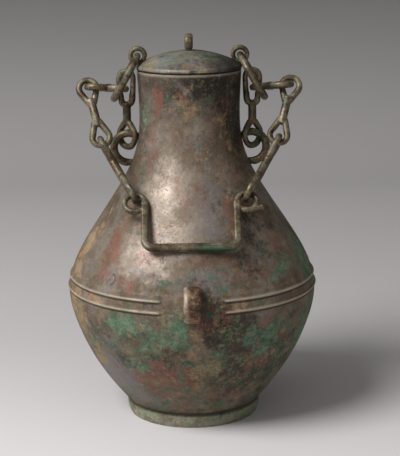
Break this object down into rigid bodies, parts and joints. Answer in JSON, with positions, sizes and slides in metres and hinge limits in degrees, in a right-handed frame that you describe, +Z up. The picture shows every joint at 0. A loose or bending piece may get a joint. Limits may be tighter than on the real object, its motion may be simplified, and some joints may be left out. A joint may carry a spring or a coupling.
{
  "type": "lidded bronze hu vessel",
  "caption": "Round-bellied bronze wine vessel with a slender neck, a low domed lid held captive by rings, and a square bail hung on chains of links, standing on a foot ring.",
  "frame": {"origin": "centre of the foot ring, on the surface that the vessel stands on", "axes": "+Z up the vessel's axis, -Y towards the front, where the lug and the bail are, +X to the viewer's right"},
  "size_m": [0.214, 0.2261, 0.3274],
  "materials": {
    "vessel_bronze": "satin, patinated",
    "lid_bronze": "satin, patinated",
    "chain_bronze": "worn, patinated",
    "bail_bronze": "worn, patinated"
  },
  "bodies": {
    "vessel": {"vessel_body": "vessel_bronze", "vessel_neck": "vessel_bronze", "belly_lug": "vessel_bronze", "left_neck_ear": "vessel_bronze", "right_neck_ear": "vessel_bronze"},
    "lid": {"lid": "lid_bronze", "lid_knob": "lid_bronze", "left_lid_ear": "lid_bronze", "right_lid_ear": "lid_bronze"},
    "left_ring": {"left_lid_ring": "chain_bronze"},
    "right_ring": {"right_lid_ring": "chain_bronze"},
    "left_neck_link": {"left_neck_link": "chain_bronze"},
    "right_neck_link": {"right_neck_link": "chain_bronze"},
    "left_bridge_link": {"left_bridge_link": "chain_bronze"},
    "right_bridge_link": {"right_bridge_link": "chain_bronze"},
    "left_hanging_link": {"left_hanging_link": "chain_bronze"},
    "right_hanging_link": {"right_hanging_link": "chain_bronze"},
    "left_lower_link": {"left_lower_link": "chain_bronze"},
    "right_lower_link": {"right_lower_link": "chain_bronze"},
    "bail": {"bail_handle": "bail_bronze"}
  },
  "joints": [
    {"name": "lid_lift", "type": "slide", "parent": "vessel", "child": "lid", "axis": [0, 0, 1], "range_m": [0, 0.007]},
    {"name": "left_ring_swing", "type": "hinge", "parent": "lid", "child": "left_ring", "pos_m": [-0.0457, 0, 0.30478], "axis": [-1, 0, 0], "range_deg": [0, 8]},
    {"name": "right_ring_swing", "type": "hinge", "parent": "lid", "child": "right_ring", "pos_m": [0.0457, 0, 0.30478], "axis": [-1, 0, 0], "range_deg": [0, 8]},
    {"name": "left_bridge_roll", "type": "hinge", "parent": "left_ring", "child": "left_bridge_link", "pos_m": [-0.063, 0, 0.2826], "axis": [-1, 0, 0], "range_deg": [0, 8]},
    {"name": "right_bridge_roll", "type": "hinge", "parent": "right_ring", "child": "right_bridge_link", "pos_m": [0.063, 0, 0.2826], "axis": [-1, 0, 0], "range_deg": [0, 8]},
    {"name": "left_hanging_swing", "type": "hinge", "parent": "left_bridge_link", "child": "left_hanging_link", "pos_m": [-0.08713, 0.00247, 0.28881], "axis": [-1, 0, 0], "range_deg": [0, 14]},
    {"name": "left_lower_swing", "type": "hinge", "parent": "left_hanging_link", "child": "left_lower_link", "pos_m": [-0.07213, -0.0245, 0.23852], "axis": [-1, 0, 0], "range_deg": [0, 75]},
    {"name": "bail_swing", "type": "hinge", "parent": "left_lower_link", "child": "bail", "pos_m": [-0.04768, -0.05147, 0.20125], "axis": [-1, 0, 0], "range_deg": [0, 75]},
    {"name": "right_lower_swing", "type": "hinge", "parent": "bail", "child": "right_lower_link", "pos_m": [0.04768, -0.05147, 0.20125], "axis": [-1, 0, 0], "range_deg": [-75, 0]},
    {"name": "right_hanging_swing", "type": "hinge", "parent": "right_lower_link", "child": "right_hanging_link", "pos_m": [0.07213, -0.0245, 0.23852], "axis": [-1, 0, 0], "range_deg": [-75, 0]},
    {"name": "left_neck_link_lean", "type": "hinge", "parent": "vessel", "child": "left_neck_link", "pos_m": [-0.0529, 0, 0.24436], "axis": [-1, 0, 0], "range_deg": [-5, 0]},
    {"name": "right_neck_link_lean", "type": "hinge", "parent": "vessel", "child": "right_neck_link", "pos_m": [0.0529, 0, 0.24436], "axis": [-1, 0, 0], "range_deg": [-5, 0]}
  ],
  "couplings": [
    {"joint": "right_ring_swing", "follows": "left_ring_swing", "ratio": 1},
    {"joint": "right_bridge_roll", "follows": "left_bridge_roll", "ratio": 1},
    {"joint": "right_lower_swing", "follows": "bail_swing", "ratio": -1},
    {"joint": "right_hanging_swing", "follows": "left_lower_swing", "ratio": -1},
    {"joint": "left_neck_link_lean", "follows": "left_ring_swing", "ratio": -0.609},
    {"joint": "right_neck_link_lean", "follows": "left_ring_swing", "ratio": -0.609}
  ]
}
